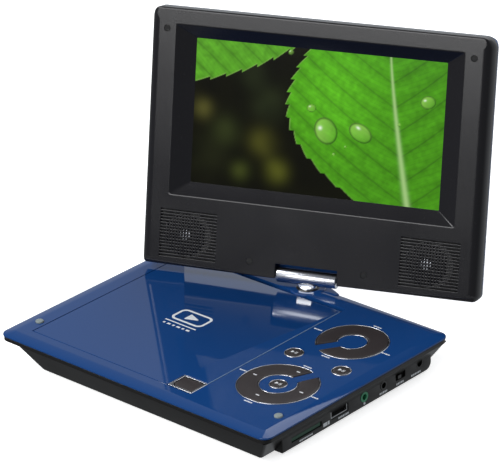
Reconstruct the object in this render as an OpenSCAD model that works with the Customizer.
// Portable disc player: a flat base with a disc lid and keypad, and a swivelling, folding screen.
// Millimetres, +Z up. The origin is the centre of the base's underside; the feet stand below it.

/* [Base] */
// Width of the base across the front
base_w = 207; // [200:1:215]
// Depth of the base, front to back
base_d = 159; // [156:1:162]
// Height from the underside to the top of the deck
base_h = 19.8; // [19.4:0.1:21]
// Width of the sloping rim round the deck
rim_w = 6.5; // [5:0.5:7]
// Drop of the rim from the deck to its outer edge
rim_drop = 1.5; // [1:0.1:1.8]
// Plan radius of the base corners
corner_r = 6; // [4:0.5:8]
// Height of the rubber feet below the underside
foot_h = 1.6; // [1:0.1:2]

/* [Disc lid] */
// Width of the lid
lid_w = 124.5; // [123:0.5:126]
// Depth of the lid
lid_d = 131.5; // [130:0.5:132]
// Angle that the lid springs open
lid_open = 5.5; // [3:0.5:6]

/* [Screen] */
// Width of the screen
screen_w = 210.4; // [206:0.2:214]
// Height of the screen
screen_h = 155; // [150:0.5:158]
// Thickness of the screen
screen_t = 14; // [13:0.5:15]
// Width of the picture
picture_w = 154.1; // [150:0.1:156]
// Height of the picture
picture_h = 86.6; // [84:0.1:88]
// Depth of the picture below the face of the frame
picture_depth = 5.9; // [5:0.1:6.5]

/* [Hinge] */
// Turn of the screen about its pivot at rest, from facing the front
screen_turn = 22.1; // [0:0.1:30]
// Lean of the screen behind upright at rest
screen_lean = 14.2; // [0:0.1:20]
// Height of the tilt axis above the deck
axis_lift = 6; // [5.8:0.1:7]
// Diameter of the hinge barrel
barrel_d = 9; // [8:0.5:9]
// Length of the hinge barrel
barrel_l = 36.8; // [34:0.2:37]

/* [Keypad] */
// Outer radius of the rear ring pad
rear_pad_r = 20.6; // [19:0.1:21]
// Outer radius of the front ring pad
front_pad_r = 23; // [22:0.1:24]
// Radius of the two small round keys
key_r = 4.9; // [4:0.1:5]
// Travel of the keys
key_travel = 0.4; // [0.2:0.1:0.5]

/* [Hidden] */
$fn = 96;

eps = 0.01;
hw = base_w / 2;
hd = base_d / 2;
wall = 1.8;
skin = 1.8;                      // thickness of the deck and the lid
deck_z = base_h;
deck_under = deck_z - skin;
rim_edge = 0.9;                  // upright edge below the rim
rim_z = deck_z - rim_drop - rim_edge;
groove = 0.4;                    // shadow groove between the deck and the lip
lip_top = rim_z - groove;
lip_bot = lip_top - 2.4;
lip_inset = 0.4;
rib_in = 2;                      // how far in the deck's locating rib stands

// inward slope of each side of the bottom case, from the lip to the underside
left_top = 12;     left_foot = 26.5;
right_top = 1.5;   right_foot = 11.2;
end_top = 1.5;     end_foot = 8;

// port block on the right side
port_x = 98;
port_y0 = -60.4;
port_y1 = 68.8;

// lid and the disc space below it
gap = 0.4;
back_gap = 1.2;
lid_x = -25.75;
lid_y = -1.2;
lid_x0 = lid_x - lid_w / 2;  lid_x1 = lid_x + lid_w / 2;
lid_y0 = lid_y - lid_d / 2;  lid_y1 = lid_y + lid_d / 2;
corner_x = 18.6;                 // the lid's front right corner is cut away for the open button
corner_y = -52.4;
disc_r = 60;
well_r = disc_r + 0.9;
well_floor = 14.6;
well_skin = 1;
tray_top = 17.4;
hinge_pin_y = 67.5;
hinge_pin_z = 15.6;
hinge_pin_r = 1.2;
run = 0.05;                      // radial clearance of a running fit
arm_xs = [lid_x - 45, lid_x + 45];
arm_w = 8;
lug_w = 3;

// disc loader
rod_x = 21;
rod_r = 1.5;
rod_z = 9.5;
screw_x = 29;
screw_z = 8.5;
chassis_z = 4;
sled_r = 36;                     // radius of the lens from the spindle at rest
table_z = 15.6;
shaft_r = 1.25;

// keypad
rear_pad = [66.9, 36.15];
front_pad = [67.5, -28.4];
rear_gap_a = 237;
front_gap_a = 66;
pad_gap = 3.2;                   // half width of the break in each ring pad
rear_pad_in = 9.2;
front_pad_in = 11.4;
play_r = 4.5;
trim_w = 0.6;
trim_gap = 0.3;
pad_top = deck_z + 0.6;
key_foot = 15.2;
flange_z = 16.6;
flange_t = 0.8;
small_keys = [[49.5, 5.6], [85, 5.3]];
board_top = 14.4;

// open button
frame_lo = [corner_x + gap, -66.6];
frame_hi = [lid_x1 + gap, corner_y - gap];
frame_side = 1.2;
frame_front = 1.4;
button_foot = 3.6;               // the button's shank stands this far in from the frame's front

// ports: [y, z]
card_at = [-39.8, 4.9];
usb_at = [-11.9, 6.9];
phone_at = [9.35, 6.0];
av_at = [26.25, 6.3];
switch_at = [41.2, 6.4];
dc_at = [58.4, 7.3];
plug_r = 1.8;                    // radius of a 3.5 mm plug's bore
main_z = 2.4;
main_t = 1.2;

// hinge
hinge_y = hd - 5;
axis_z = deck_z + axis_lift;
barrel_r = barrel_d / 2;
tilt_r = 1.2;
post_r = 4;
disc_cap_r = 5.5;
bush_r = 7;
boss_r = 11;
bulge_r = 46;

// screen, in its own frame: x across, z up the screen, -y towards the viewer, tilt axis at the origin
face_y = -4.2;
back_y = face_y + screen_t;
part_y = 4.8;                    // joint between the front frame and the rear cover
foot_v = -2;
head_v = foot_v + screen_h;
sw = screen_w / 2;
screen_corner = 7;
screen_foot_corner = 4;
window_w = 176.8;
window_h = 102;
picture_v = 92.3;
notch_w = 19.2;
notch_v = 7;
back_notch_v = 1.5;              // the rear cover closes the notch above this
grille_w = 36;
grille_h = 30;
grille_u = 75;
grille_v = 17.6;
cap_at = [[94, 140.5], [-94, 140.5], [35.5, 6.6], [-35.5, 6.6]];
glass_y = face_y + picture_depth;

// ---- helpers ----
module block(lo, hi) { translate(lo) cube(hi - lo); }

module round_rect(w, d, r) {
    square([w - 2 * r, d], center = true);
    square([w, d - 2 * r], center = true);
    for (x = [-1, 1], y = [-1, 1]) translate([x * (w / 2 - r), y * (d / 2 - r)]) circle(r);
}

module plate(w, d, r, z0, z1) { translate([0, 0, z0]) linear_extrude(z1 - z0) round_rect(w, d, r); }

// a prism along Y from an outline in X and Z
module along_y(y0, y1) { translate([0, y1, 0]) rotate([90, 0, 0]) linear_extrude(y1 - y0) children(); }

// a prism along X from an outline in Y and Z
module along_x(x0, x1) { translate([x0, 0, 0]) rotate([90, 0, 90]) linear_extrude(x1 - x0) children(); }

module rod_y(x, z, r, y0, y1) { translate([x, y1, z]) rotate([90, 0, 0]) cylinder(r = r, h = y1 - y0); }
module rod_x_at(y, z, r, x0, x1) { translate([x0, y, z]) rotate([0, 90, 0]) cylinder(r = r, h = x1 - x0); }

// a ring with a straight break towards the angle a
module broken_ring(r0, r1, half_gap, a) {
    difference() {
        circle(r1);
        circle(r0);
        rotate(a) translate([0, -half_gap]) square([r1 + 1, 2 * half_gap]);
    }
}

module ring_2d(r0, r1) { difference() { circle(r1); circle(r0); } }

module at_z(z0, z1) { translate([0, 0, z0]) linear_extrude(z1 - z0) children(); }

module on_swivel() { translate([0, hinge_y, 0]) rotate([0, 0, screen_turn]) children(); }
module on_screen() { on_swivel() translate([0, 0, axis_z]) rotate([-screen_lean, 0, 0]) children(); }

// the solid that the bottom case's sides enclose, taken in by t
module sloped_body(t, z0, z1) {
    f = t > 0 ? t : 0;
    intersection() {
        along_y(-hd, hd) polygon([
            [-hw + left_foot + f, z0], [hw - right_foot - f, z0],
            [hw - right_top - f, z1], [-hw + left_top + f, z1]]);
        along_x(-hw, hw) polygon([
            [-hd + end_foot + f, z0], [hd - end_foot - f, z0],
            [hd - end_top - f, z1], [-hd + end_top + f, z1]]);
    }
}

module hinge_bulge(z0, z1, grow) {
    at_z(z0, z1) intersection() {
        translate([0, hd + 4.5 - bulge_r]) circle(bulge_r + grow, $fn = 180);
        translate([-20 - grow, hd - 9]) square([40 + 2 * grow, 20]);
    }
}

screw_posts = [[-45, 68.2], [38, 68.2], [55, -64], [84, -64]];
board_posts = [[66, -52], [66, 60], [90, -52], [90, 60]];

// ---- base ----
module bottom_case() {
    color("#1d1a19") difference() {
        union() {
            sloped_body(0, 0, lip_bot + eps);
            plate(base_w - 2 * lip_inset, base_d - 2 * lip_inset, corner_r, lip_bot, lip_top);
            block([port_x - 20, port_y0, 0], [port_x, port_y1, lip_bot + eps]);
            hinge_bulge(lip_bot, lip_top, -lip_inset);
            translate([0, hinge_y, 10]) cylinder(r = 9.4, h = lip_top - 10);
        }
        difference() {
            union() {
                sloped_body(wall, wall, lip_bot + 2 * eps);
                block([-hw + left_top + wall, -hd + end_top + wall, lip_bot],
                      [hw - right_top - wall, hd - end_top - wall, lip_top + 1]);
                block([lid_x0 - 3, lid_y0 - 3, 15.7], [0, lid_y1 + 1, lip_top + 1]);
                block([port_x - 24, port_y0 + wall, wall], [port_x - wall, port_y1 - wall, lip_top + 1]);
            }
            for (p = screw_posts) translate([p[0], p[1], 0]) cylinder(r = 3, h = 9);
            for (p = board_posts) translate([p[0], p[1], 0]) cylinder(r = 3, h = main_z);
            translate([0, hinge_y, 10]) cylinder(r = 9.4, h = lip_top - 10);
        }
        translate([0, hinge_y, 11.4]) cylinder(r = 7.6, h = 10);
        for (p = screw_posts) translate([p[0], p[1], -eps]) {
            cylinder(r = 1.5, h = 12);
            cylinder(r = 2.9, h = 2);
        }
        // groove round the label panel
        difference() {
            block([-64, -36, -1], [8, 36, 0.4]);
            block([-63.2, -35.2, -2], [7.2, 35.2, 1]);
        }
        // battery hatch
        block([16, -56, -1], [48, 56, 3]);
        block([13.9, -58.1, -1], [50.1, 58.1, 1.3]);
        // ports
        block([port_x - 4, card_at[0] - 12.6, card_at[1] - 1.5], [port_x + 1, card_at[0] + 12.6, card_at[1] + 1.5]);
        block([port_x - 4, usb_at[0] - 7.4, usb_at[1] - 3.5], [port_x + 1, usb_at[0] + 7.4, usb_at[1] + 3.5]);
        rod_x_at(phone_at[0], phone_at[1], 3.15, port_x - 4, port_x + 1);
        rod_x_at(av_at[0], av_at[1], 2.75, port_x - 4, port_x + 1);
        rod_x_at(dc_at[0], dc_at[1], 3.05, port_x - 4, port_x + 1);
        block([port_x - 4, switch_at[0] - 4.2, switch_at[1] - 2.2], [port_x + 1, switch_at[0] + 4.2, switch_at[1] + 2.2]);
    }
}

// outline of the lid, grown by g at the sides and front and by b at the back
module lid_outline(g, b) {
    polygon([
        [lid_x0 - g, lid_y0 - g], [corner_x + g, lid_y0 - g], [corner_x + g, corner_y - g],
        [lid_x1 + g, corner_y - g], [lid_x1 + g, lid_y1 + b], [lid_x0 - g, lid_y1 + b]]);
}

module top_deck() {
    color("#1c4a93") difference() {
        union() {
            intersection() {
                plate(base_w, base_d, corner_r, rim_z, deck_z);
                along_y(-hd, hd) polygon([
                    [-hw, rim_z], [hw, rim_z], [hw, deck_z - rim_drop], [hw - rim_w, deck_z],
                    [-hw + rim_w, deck_z], [-hw, deck_z - rim_drop]]);
                along_x(-hw, hw) polygon([
                    [-hd, rim_z], [hd, rim_z], [hd, deck_z - rim_drop], [hd - rim_w, deck_z],
                    [-hd + rim_w, deck_z], [-hd, deck_z - rim_drop]]);
            }
            hinge_bulge(rim_z, deck_z - 0.5, 0);
            translate([0, hinge_y, rim_z]) cylinder(r = boss_r, h = deck_z - rim_z);
            // locating rib that stands on the lip
            difference() {
                plate(base_w - 2 * rib_in, base_d - 2 * rib_in, corner_r - 1, lip_top, rim_z + eps);
                block([-hw + 6, -hd + 3.5, 0], [hw - 3.5, hd - 3.5, deck_z]);
                translate([0, hinge_y, 0]) cylinder(r = 9.6, h = deck_z);
            }
        }
        difference() {
            block([-hw + 4, -hd + 4, rim_z - 1], [hw - 4, hd - 4, deck_under]);
            translate([0, hinge_y, 0]) cylinder(r = boss_r, h = deck_z);
        }
        at_z(0, deck_z + 1) lid_outline(gap, back_gap);
        block([frame_lo[0], frame_lo[1], 0], [frame_hi[0], frame_hi[1], deck_z + 1]);
        translate([rear_pad[0], rear_pad[1], 0]) at_z(0, deck_z + 1)
            broken_ring(rear_pad_in - trim_w - trim_gap, rear_pad_r + trim_w + trim_gap, pad_gap, rear_gap_a);
        translate([front_pad[0], front_pad[1], 0]) at_z(0, deck_z + 1) {
            broken_ring(front_pad_in - trim_w - trim_gap, front_pad_r + trim_w + trim_gap, pad_gap, front_gap_a);
            circle(play_r + trim_w + trim_gap);
        }
        for (k = small_keys) translate([k[0], k[1], 0]) cylinder(r = key_r + trim_w + trim_gap, h = deck_z + 1);
        translate([0, hinge_y, 0]) cylinder(r = bush_r, h = deck_z + 1);
    }
    color("#1c4a93") {
        // lugs that hold the lid's hinge pins
        for (x = arm_xs, s = [-1, 1]) difference() {
            block([x + s * (arm_w / 2 + gap + lug_w / 2) - lug_w / 2, hinge_pin_y - 1.7, hinge_pin_z - 2],
                  [x + s * (arm_w / 2 + gap + lug_w / 2) + lug_w / 2, hinge_pin_y + 2.5, deck_under]);
            rod_x_at(hinge_pin_y, hinge_pin_z, hinge_pin_r, x - 20, x + 20);
        }
        for (p = [[44, -52], [91, -52], [44, 60], [91, 60]])
            translate([p[0], p[1], board_top]) cylinder(r = 2, h = deck_under - board_top);
        for (p = screw_posts) translate([p[0], p[1], 9]) difference() {
            cylinder(r = 2.8, h = deck_under - 9);
            translate([0, 0, -1]) cylinder(r = 1.2, h = 7);
        }
    }
}

module rubber_feet() {
    color("#2b2b2b") for (p = [[-68, -62], [84, -56], [-68, 60], [84, 60]])
        translate([p[0], p[1], -foot_h]) cylinder(r = 5, h = foot_h);
}

module case_screws() {
    color("silver") for (p = screw_posts) translate([p[0], p[1], 0.4]) {
        difference() {
            cylinder(r = 2.6, h = 1.5);
            for (a = [0, 90]) rotate(a) block([-1.5, -0.3, -1], [1.5, 0.3, 0.7]);
        }
        translate([0, 0, 1.5]) cylinder(r = 1.2, h = 12);
    }
}

module battery_pack() {
    color("#3a6ea5") for (i = [0 : 2])
        block([13, -58 + i * 39, wall], [49.6, -20.4 + i * 39, 10.2]);
}

module battery_cover() {
    color("#1d1a19") {
        difference() {
            block([14.1, -57.9, 0], [49.9, 57.9, 1.2]);
            for (i = [0 : 3]) block([24, 44 + i * 2.4, -1], [40, 45.2 + i * 2.4, 0.5]);
        }
        block([16.2, -55.8, 1.2], [47.8, 55.8, 1.7]);
    }
}

module deck_bumpers() {
    color("#b9c2c4") for (x = [-93.2, 92.4]) translate([x, -56.3, deck_z]) {
        cylinder(r = 2.5, h = 0.7);
        translate([0, 0, 0.7]) cylinder(r1 = 2.5, r2 = 1.7, h = 0.5);
    }
}

module swivel_bush() {
    color("#141414") translate([0, hinge_y, 0]) difference() {
        union() {
            translate([0, 0, rim_z]) cylinder(r = bush_r, h = deck_z - rim_z);
            translate([0, 0, 15.8]) cylinder(r = bush_r - 0.4, h = rim_z - 15.8);
        }
        cylinder(r = post_r + run, h = 30);
    }
}

module lid_hinge_pins() {
    color("silver") for (x = arm_xs)
        rod_x_at(hinge_pin_y, hinge_pin_z, hinge_pin_r, x - arm_w / 2 - gap - lug_w, x + arm_w / 2 + gap + lug_w);
}

module open_button_frame() {
    color("#cfd3d6") difference() {
        block([frame_lo[0], frame_lo[1], deck_under], [frame_hi[0], frame_hi[1], deck_z + 0.2]);
        block([frame_lo[0] + frame_side, frame_lo[1] + frame_front, 0],
              [frame_hi[0] - frame_side, frame_hi[1] - frame_side + 0.6, deck_z + 1]);
        // bevel down to the button on the front side
        along_x(frame_lo[0] + 0.6, frame_hi[0] - 0.6) polygon([
            [frame_lo[1] + 0.8, deck_z + 0.3], [frame_lo[1] + frame_front + 1, deck_z + 0.3],
            [frame_lo[1] + frame_front + 1, deck_z - 1.1], [frame_lo[1] + frame_front - 0.4, deck_z - 1.1]]);
    }
}

module key_trims() {
    color("#cfd3d6") {
        translate([rear_pad[0], rear_pad[1], 0]) at_z(deck_under, deck_z + 0.15) {
            broken_ring(rear_pad_r + trim_gap, rear_pad_r + trim_gap + trim_w, pad_gap, rear_gap_a);
            broken_ring(rear_pad_in - trim_gap - trim_w, rear_pad_in - trim_gap, pad_gap, rear_gap_a);
        }
        translate([front_pad[0], front_pad[1], 0]) at_z(deck_under, deck_z + 0.15) {
            broken_ring(front_pad_r + trim_gap, front_pad_r + trim_gap + trim_w, pad_gap, front_gap_a);
            broken_ring(front_pad_in - trim_gap - trim_w, front_pad_in - trim_gap, pad_gap, front_gap_a);
            ring_2d(play_r + trim_gap, play_r + trim_gap + trim_w);
        }
        for (k = small_keys) translate([k[0], k[1], 0]) at_z(deck_under, deck_z + 0.15)
            ring_2d(key_r + trim_gap, key_r + trim_gap + trim_w);
    }
}

// ---- disc loader ----
module disc_tray() {
    color("#26262a") difference() {
        union() {
            difference() {
                block([lid_x0 - 2.6, lid_y0 - 2.6, tray_top - 1.4], [lid_x1 + 1.4, lid_y1 + 0.4, tray_top]);
                translate([lid_x, lid_y, 0]) cylinder(r = well_r, h = 30, $fn = 180);
                block([corner_x - 2.4, -90, 0], [60, corner_y + 2, 30]);
            }
            // rim that hangs from the deck
            difference() {
                block([lid_x0 - 2.6, lid_y0 - 2.6, tray_top - eps], [lid_x1 + 1.4, lid_y1 + 0.4, deck_under]);
                block([lid_x0 - 0.6, lid_y0 - 0.6, 0], [lid_x1 + 0.6, lid_y1 + 2, 30]);
            }
            translate([lid_x, lid_y, well_floor - well_skin]) difference() {
                cylinder(r = well_r + well_skin, h = tray_top - well_floor + well_skin, $fn = 180);
                translate([0, 0, well_skin]) cylinder(r = well_r, h = 30, $fn = 180);
            }
        }
        translate([lid_x, lid_y, 0]) {
            cylinder(r = 15, h = 30);
            block([-9, -59, 0], [9, 0, 30]);
        }
        block([corner_x - 2.4, -90, 0], [60, corner_y + 2, 30]);
        block([6, -90, 0], [corner_x, -55, 30]);
        for (x = arm_xs) block([x - arm_w / 2 - 4.5, lid_y1 - 8.5, 0], [x + arm_w / 2 + 4.5, 90, 30]);
    }
}

module loader_chassis() {
    color("#9a9da1") translate([lid_x, lid_y, 0]) difference() {
        union() {
            block([-34, -66, chassis_z], [34, 24, chassis_z + 1]);
            for (x = [-rod_x, rod_x]) {
                block([x - 3, -64.5, chassis_z + 1], [x + 3, -61.5, rod_z + 2.5]);
                block([x - 3, -12, chassis_z + 1], [x + 3, -9, rod_z + 2.5]);
            }
            block([screw_x - 3, -64.5, chassis_z + 1], [screw_x + 3, -61.5, screw_z + 2.5]);
        }
        block([-14, -60, 0], [14, -14, 30]);
        for (x = [-rod_x, rod_x]) rod_y(x, rod_z, rod_r, -70, 0);
        rod_y(screw_x, screw_z, rod_r + run, -63, -50);
        for (x = [-30, 30], y = [-58, 20]) translate([x, y, 0]) cylinder(r = 2, h = 20);
    }
}

module chassis_dampers() {
    color("#202020") translate([lid_x, lid_y, 0]) for (x = [-30, 30], y = [-58, 20])
        translate([x, y, wall]) {
            cylinder(r = 3.4, h = chassis_z - wall);
            cylinder(r = 2, h = chassis_z + 1 - wall);
            translate([0, 0, chassis_z + 1 - wall]) cylinder(r = 3.4, h = 1.2);
        }
}

module guide_rods() {
    color("silver") translate([lid_x, lid_y, 0]) for (x = [-rod_x, rod_x])
        rod_y(x, rod_z, rod_r, -64.5, -9);
}

module spindle_motor() {
    color("#8d9094") translate([lid_x, lid_y, chassis_z + 1]) difference() {
        union() {
            cylinder(r = 12, h = 5);
            cylinder(r = 4, h = 7.4);
        }
        translate([0, 0, 0.6]) cylinder(r = shaft_r + run, h = 20);
    }
}

module sled_motor() {
    color("#8d9094") translate([lid_x, lid_y, 0]) difference() {
        union() {
            rod_y(screw_x, screw_z, 3.5, -14, -2);
            block([screw_x - 3, -13, chassis_z + 1], [screw_x + 3, -3, screw_z]);
        }
        rod_y(screw_x, screw_z, 1 + run, -20, -3);
    }
}

module disc_hub() {
    color("#1a1a1c") translate([lid_x, lid_y, 0]) {
        translate([0, 0, table_z - 2]) cylinder(r = 13, h = 2);
        difference() {
            translate([0, 0, table_z]) cylinder(r = 7.4, h = 1.7);
            for (a = [30, 150, 270]) rotate(a) translate([6.4, 0, table_z + 0.9]) sphere(r = 0.9, $fn = 32);
            translate([0, 0, table_z + 1]) cylinder(r = 3, h = 2);
        }
        translate([0, 0, chassis_z + 2]) cylinder(r = shaft_r, h = table_z - 2 - chassis_z - 2);
    }
}

module hub_grips() {
    color("#c8ccd0") translate([lid_x, lid_y, 0]) for (a = [30, 150, 270])
        rotate(a) translate([6.4, 0, table_z + 0.9]) sphere(r = 0.9, $fn = 32);
}

module optical_pickup() {
    color("#4a4d52") translate([lid_x, lid_y - sled_r, 0]) difference() {
        union() {
            block([-17, -9, 7], [17, 9, 12.8]);
            for (x = [-rod_x, rod_x]) block([x - 4, -5, 7], [x + 4, 5, 12]);
            block([24, -4, 6.4], [32, 4, 10.8]);
        }
        for (x = [-rod_x, rod_x]) rod_y(x, rod_z, rod_r + run, -20, 20);
        rod_y(screw_x, screw_z, rod_r + run, -20, 20);
    }
}

module pickup_lens() {
    color("#7fb2c9") translate([lid_x, lid_y - sled_r, 12.8]) {
        cylinder(r = 3.6, h = 0.5);
        translate([0, 0, 0.5]) cylinder(r1 = 2.6, r2 = 2, h = 0.4);
    }
}

module leadscrew() {
    color("silver") translate([lid_x, lid_y, 0]) {
        rod_y(screw_x, screw_z, rod_r, -62.5, -14.3);
        rod_y(screw_x, screw_z, 1, -14.4, -3.5);
    }
}

// ---- boards and sockets ----
module main_board() {
    color("#1d5b36") difference() {
        block([60, -58, main_z], [94, 66, main_z + main_t]);
        for (y = [-52, 60]) translate([66, y, 0]) cylinder(r = 1.6, h = 10);
    }
    color("#1d5b36") for (p = [[64, -20, 14], [64, 6, 10], [64, 34, 12]])
        block([p[0], p[1], main_z + main_t], [p[0] + p[2], p[1] + p[2], main_z + main_t + 1.2]);
}

module keypad_board() {
    color("#1d5b36") block([40, -56, board_top - 1.2], [93, 64, board_top]);
}

module card_socket() {
    color("#b4b8bb") difference() {
        block([port_x - 30, card_at[0] - 14, main_z + main_t], [port_x - wall, card_at[0] + 14, card_at[1] + 2]);
        block([port_x - 28, card_at[0] - 12.2, card_at[1] - 1.2], [port_x, card_at[0] + 12.2, card_at[1] + 1.3]);
    }
}

module memory_card() {
    color("#2f8f57") difference() {
        block([port_x - 28, card_at[0] - 12, card_at[1] - 1.2], [port_x - 0.6, card_at[0] + 12, card_at[1] + 0.9]);
        translate([port_x - 28, card_at[0] + 12, 0]) rotate([0, 0, 45]) block([-2, -2, 0], [2, 2, 20]);
    }
}

module usb_socket() {
    color("#c3c7ca") {
        difference() {
            block([port_x - 14, usb_at[0] - 7.2, main_z + main_t], [port_x - 0.6, usb_at[0] + 7.2, usb_at[1] + 3.3]);
            block([port_x - 13, usb_at[0] - 6.4, usb_at[1] - 2.6], [port_x, usb_at[0] + 6.4, usb_at[1] + 2.6]);
        }
        block([port_x - 13.2, usb_at[0] - 5.6, usb_at[1] + 0.3], [port_x - 2, usb_at[0] + 5.6, usb_at[1] + 2.1]);
    }
}

module jack(p, nose, depth) {
    difference() {
        union() {
            block([port_x - wall - 12, p[0] - 3.6, main_z + main_t], [port_x - wall, p[0] + 3.6, p[1] + 3.2]);
            rod_x_at(p[0], p[1], nose, port_x - wall - 1, port_x + 0.2);
        }
        rod_x_at(p[0], p[1], plug_r, port_x + 0.2 - depth, port_x + 2);
    }
}

module headphone_jack() { color("#2fa56c") jack(phone_at, 3.1, 12); }
module av_jack() { color("#151515") jack(av_at, 2.7, 12); }

module dc_jack() {
    color("#151515") {
        difference() {
            union() {
                block([port_x - wall - 10, dc_at[0] - 4, main_z + main_t], [port_x - wall, dc_at[0] + 4, dc_at[1] + 3.6]);
                rod_x_at(dc_at[0], dc_at[1], 3, port_x - wall - 1, port_x);
            }
            rod_x_at(dc_at[0], dc_at[1], 2.3, port_x - 9, port_x + 2);
        }
        rod_x_at(dc_at[0], dc_at[1], 0.6, port_x - 10, port_x - 1.5);
    }
}

module power_switch_body() {
    color("#5b5e62") difference() {
        block([port_x - 9, switch_at[0] - 5.5, main_z + main_t], [port_x - wall, switch_at[0] + 5.5, switch_at[1] + 2.9]);
        block([port_x - 4.5, switch_at[0] - 4, switch_at[1] - 1.6], [port_x, switch_at[0] + 4, switch_at[1] + 1.6]);
    }
}

module power_switch_knob() {
    color("#101010") {
        block([port_x - 4, switch_at[0] - 3.5, switch_at[1] - 1.2], [port_x - 1.6, switch_at[0] + 0.5, switch_at[1] + 1.2]);
        block([port_x - 1.6, switch_at[0] - 2.9, switch_at[1] - 1], [port_x + 0.6, switch_at[0] - 0.1, switch_at[1] + 1]);
    }
}

// ---- lid ----
module disc_lid() {
    color("#1c4a93") {
        intersection() {
            at_z(deck_under, deck_z) lid_outline(0, 0);
            // the back edge slopes down to the hinge gap
            along_x(lid_x0 - 1, lid_x1 + 1) polygon([
                [lid_y0 - 1, deck_under - 1], [lid_y1, deck_under - 1], [lid_y1, deck_z - 1.1],
                [lid_y1 - 3.2, deck_z + eps], [lid_y0 - 1, deck_z + eps]]);
        }
        for (x = arm_xs) difference() {
            union() {
                block([x - arm_w / 2, lid_y1 - 6, hinge_pin_z - 1.4], [x + arm_w / 2, lid_y1, deck_under + eps]);
                block([x - arm_w / 2, lid_y1 - 1, hinge_pin_z - 1.7], [x + arm_w / 2, hinge_pin_y + 2, hinge_pin_z + 1.7]);
            }
            rod_x_at(hinge_pin_y, hinge_pin_z, hinge_pin_r + run, x - 20, x + 20);
        }
    }
}

module lid_hook() {
    color("#1d1a19") {
        block([8, -62, 12.4], [10.4, -57, deck_under]);
        block([10.4 - eps, -62, 12.4], [11.6, -57, 13.6]);
    }
}

module open_button() {
    color("#3c3837") {
        block([frame_lo[0] + frame_side + 0.4, frame_lo[1] + button_foot, 16.4],
              [frame_hi[0] - frame_side - 0.4, frame_hi[1] - frame_side + 0.2, deck_z - 0.1]);
        block([frame_lo[0] + frame_side + 0.4, frame_lo[1] + frame_front + 0.4, deck_z - 1.3],
              [frame_hi[0] - frame_side - 0.4, frame_lo[1] + button_foot + eps, deck_z - 0.1]);
        block([24, -62, 12.6], [31, -57, 16.4 + eps]);
    }
}

module latch_catch() {
    color("#6b6e72") {
        block([12, -62.5, 11.4], [34, -56.5, 12.6]);
        block([12, -62.5, 12.6 - eps], [13.6, -56.5, 14.4]);
    }
}

// ---- keys ----
module ring_pad(r0, r1, a) {
    at_z(key_foot, pad_top) broken_ring(r0, r1, pad_gap + trim_gap, a);
    at_z(flange_z, flange_z + flange_t) broken_ring(r0 - 0.8, r1 + 0.8, pad_gap + trim_gap, a);
}

module round_key(p, r) {
    translate([p[0], p[1], 0]) {
        translate([0, 0, key_foot]) cylinder(r = r, h = pad_top - key_foot);
        translate([0, 0, flange_z]) cylinder(r = r + 0.8, h = flange_t);
    }
}

module rear_ring_pad() {
    color("#4a4543") translate([rear_pad[0], rear_pad[1], 0]) ring_pad(rear_pad_in, rear_pad_r, rear_gap_a);
}

module front_ring_pad() {
    color("#4a4543") translate([front_pad[0], front_pad[1], 0]) ring_pad(front_pad_in, front_pad_r, front_gap_a);
}

module play_key() { color("#4a4543") round_key(front_pad, play_r); }
module left_key() { color("#4a4543") round_key(small_keys[0], key_r); }
module right_key() { color("#4a4543") round_key(small_keys[1], key_r); }

// ---- hinge ----
module swivel_post() {
    color("#d8dadc") on_swivel() difference() {
        union() {
            translate([0, 0, deck_z + 0.3]) cylinder(r = disc_cap_r, h = 0.8);
            translate([0, 0, 13]) cylinder(r = post_r, h = deck_z + 0.4 - 13);
        }
        translate([0, 0, 12]) cylinder(r = 2, h = deck_z - 12);
    }
}

module swivel_washer() {
    color("#9a9da1") on_swivel() translate([0, 0, 14]) difference() {
        cylinder(r = 6.4, h = 1.4);
        translate([0, 0, -1]) cylinder(r = post_r, h = 4);
    }
}

module hinge_barrel() {
    color("#d8dadc") on_swivel() difference() {
        union() {
            rod_x_at(0, axis_z, barrel_r, -barrel_l / 2, barrel_l / 2);
            block([-5.6, -3.5, deck_z + 1.1], [5.6, 3.5, axis_z]);
        }
        rod_x_at(0, axis_z, tilt_r + run, -40, 40);
    }
}

// ---- screen ----
// the screen's outline, taken in by t: larger corners at the head than at the foot
module screen_outline(t) {
    w = screen_w / 2 - t;
    h = screen_h / 2 - t;
    up = screen_corner - t;
    low = screen_foot_corner - t;
    translate([-w + up, -h + low]) square([2 * (w - up), 2 * h - low]);
    translate([-w, -h + low]) square([2 * w, 2 * h - low - up]);
    translate([-w + low, -h]) square([2 * (w - low), h]);
    for (x = [-1, 1]) {
        translate([x * (w - up), h - up]) circle(up);
        translate([x * (w - low), -h + low]) circle(low);
    }
}

// the screen's whole outer form, taken in by t
module screen_form(t) {
    intersection() {
        translate([0, back_y, (foot_v + head_v) / 2]) rotate([90, 0, 0])
            linear_extrude(screen_t) screen_outline(t);
        translate([0, 0, foot_v]) linear_extrude(screen_h) polygon([
            [-sw + 6.3 + t / 2, face_y + t], [sw - 6.3 - t / 2, face_y + t],
            [sw - 2.6 - t, face_y + 1.8 + t / 2], [sw - 0.6 - t, face_y + 5], [sw - t, part_y],
            [sw - t, back_y - 3.2 - t / 2], [sw - 4.5 - t / 2, back_y - t],
            [-sw + 4.5 + t / 2, back_y - t], [-sw + t, back_y - 3.2 - t / 2],
            [-sw + t, part_y], [-sw + 0.6 + t, face_y + 5], [-sw + 2.6 + t, face_y + 1.8 + t / 2]]);
        along_x(-sw, sw) polygon([
            [face_y + t, foot_v + 3 + t / 2], [face_y + 2.7 + t / 2, foot_v + t], [3.8 - t / 2, foot_v + t],
            [back_y - t, 4 + t / 2], [back_y - t, head_v - 5 - t / 2], [back_y - 4 - t / 2, head_v - t],
            [face_y + 0.8 + t / 2, head_v - t], [face_y + t, head_v - 0.8 - t / 2]]);
    }
}

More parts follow.
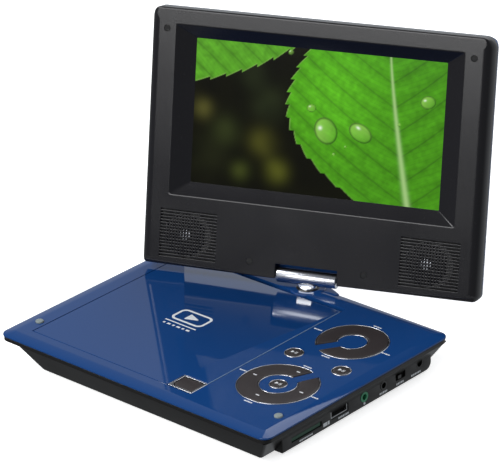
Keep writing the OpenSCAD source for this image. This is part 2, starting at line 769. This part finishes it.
// the tapering window: full size at the face, the picture's size at the glass, grown by g
module window_taper(g) {
    depth = picture_depth + 1;
    slope_w = (window_w - picture_w) / 2 / picture_depth;
    slope_h = (window_h - picture_h) / 2 / picture_depth;
    ww = window_w / 2 + g;
    hh = window_h / 2 + g;
    intersection() {
        linear_extrude(head_v) polygon([
            [-ww - slope_w, face_y - 1], [ww + slope_w, face_y - 1],
            [ww - slope_w * depth, face_y + depth], [-ww + slope_w * depth, face_y + depth]]);
        along_x(-sw, sw) polygon([
            [face_y - 1, picture_v - hh - slope_h], [face_y - 1, picture_v + hh + slope_h],
            [face_y + depth, picture_v + hh - slope_h * depth], [face_y + depth, picture_v - hh + slope_h * depth]]);
    }
}

module screen_front_frame() {
    color("#232125") on_screen() difference() {
        union() {
            intersection() {
                screen_form(0);
                block([-sw, face_y, foot_v], [sw, part_y, head_v]);
                difference() {
                    block([-sw, face_y, foot_v], [sw, part_y, head_v]);
                    difference() {
                        screen_form(wall);
                        block([-30, face_y, foot_v], [30, back_y, notch_v + 2]);
                    }
                }
            }
            // posts for the driver board and for the shaft's arms
            for (u = [-44, 44], v = [16, 34]) translate([u, 0, v]) rod_y(0, 0, 2, face_y + 1, 3);
            for (s = [-1, 1]) difference() {
                block([s * 32 - 2.5, face_y + 1, 7.5], [s * 32 + 2.5, -1.1, 13]);
                rod_y(s * 32, 10, 0.8, -2.3, 0);
            }
            intersection() {
                window_taper(2.2);
                block([-sw, face_y, 0], [sw, glass_y, head_v]);
            }
        }
        window_taper(0);
        block([-notch_w, face_y - 1, foot_v - 1], [notch_w, back_y + 1, notch_v]);
        rod_x_at(0, 0, tilt_r, -34.2, 34.2);
        for (s = [-1, 1])
            block([s * grille_u - grille_w / 2, face_y - 1, grille_v - grille_h / 2],
                  [s * grille_u + grille_w / 2, face_y + wall + eps, grille_v + grille_h / 2]);
        for (c = cap_at) translate([c[0], face_y - 1, c[1]]) rotate([-90, 0, 0]) cylinder(r = 2.1, h = 1.9);
    }
}

module screen_rear_cover() {
    color("#1c4a93") on_screen() difference() {
        intersection() {
            screen_form(0);
            block([-sw, part_y, foot_v], [sw, back_y, head_v]);
        }
        difference() {
            intersection() {
                screen_form(wall);
                block([-sw, part_y - 1, foot_v], [sw, back_y - wall, head_v]);
            }
            block([-notch_w - wall, 0, foot_v], [notch_w + wall, back_y, notch_v + wall]);
        }
        block([-notch_w, face_y - 1, foot_v - 1], [notch_w, back_y + 1, back_notch_v]);
    }
}

module lcd_panel() {
    color("#2f6d1f") on_screen()
        block([-picture_w / 2 - 3.5, glass_y, picture_v - picture_h / 2 - 3.5],
              [picture_w / 2 + 3.5, glass_y + 1.6, picture_v + picture_h / 2 + 3.5]);
}

module lcd_shield() {
    color("#b4b8bb") on_screen()
        block([-picture_w / 2 - 4, glass_y + 1.6, picture_v - picture_h / 2 - 4],
              [picture_w / 2 + 4, glass_y + 4.4, picture_v + picture_h / 2 + 4]);
}

module lcd_board() {
    color("#1d5b36") on_screen() {
        block([-48, 3, 12], [48, 4.2, 38]);
        block([-30, 4.2, 18], [-14, 6.4, 34]);
        block([10, 4.2, 16], [22, 5.4, 28]);
    }
}

module speaker_grilles() {
    pitch = 1.85;
    color("#1a191c") on_screen() for (s = [-1, 1]) difference() {
        block([s * grille_u - grille_w / 2, face_y + 0.1, grille_v - grille_h / 2],
              [s * grille_u + grille_w / 2, face_y + wall, grille_v + grille_h / 2]);
        for (i = [0 : 15])
            block([s * grille_u - grille_w / 2 + 1, face_y, grille_v - grille_h / 2 + 0.7 + i * pitch],
                  [s * grille_u + grille_w / 2 - 1, face_y + 0.7, grille_v - grille_h / 2 + 1.5 + i * pitch]);
    }
}

module speaker_units() {
    color("#303236") on_screen() for (s = [-1, 1])
        translate([s * grille_u, face_y + wall, grille_v]) rotate([-90, 0, 0]) {
            cylinder(r = 14, h = 2.4);
            translate([0, 0, 2.4]) cylinder(r = 8, h = 3.4);
        }
}

module frame_screw_caps() {
    color("#161518") on_screen() for (c = cap_at)
        translate([c[0], face_y + 0.15, c[1]]) rotate([-90, 0, 0]) cylinder(r = 2.1, h = 0.75);
}

module tilt_shaft() {
    color("#9a9da1") on_screen() {
        rod_x_at(0, 0, tilt_r, -34, 34);
        for (s = [-1, 1]) difference() {
            block([s * 32 - 1.8, -1.1, 0], [s * 32 + 1.8, 1.1, 13]);
            rod_y(s * 32, 10, 0.8, -3, 3);
        }
    }
}

module shaft_screws() {
    color("silver") on_screen() for (s = [-1, 1]) {
        rod_y(s * 32, 10, 0.8, -2.2, 1.2);
        rod_y(s * 32, 10, 1.5, 1.1, 2.1);
    }
}

bottom_case();
top_deck();
rubber_feet();
case_screws();
battery_pack();
battery_cover();
disc_tray();
loader_chassis();
chassis_dampers();
guide_rods();
spindle_motor();
sled_motor();
main_board();
keypad_board();
card_socket();
memory_card();
usb_socket();
headphone_jack();
av_jack();
dc_jack();
power_switch_body();
key_trims();
open_button_frame();
deck_bumpers();
lid_hinge_pins();
swivel_bush();
disc_lid();
lid_hook();
open_button();
latch_catch();
rear_ring_pad();
front_ring_pad();
play_key();
left_key();
right_key();
power_switch_knob();
disc_hub();
hub_grips();
optical_pickup();
pickup_lens();
leadscrew();
swivel_post();
swivel_washer();
hinge_barrel();
screen_front_frame();
screen_rear_cover();
lcd_panel();
lcd_shield();
lcd_board();
speaker_grilles();
speaker_units();
frame_screw_caps();
tilt_shaft();
shaft_screws();
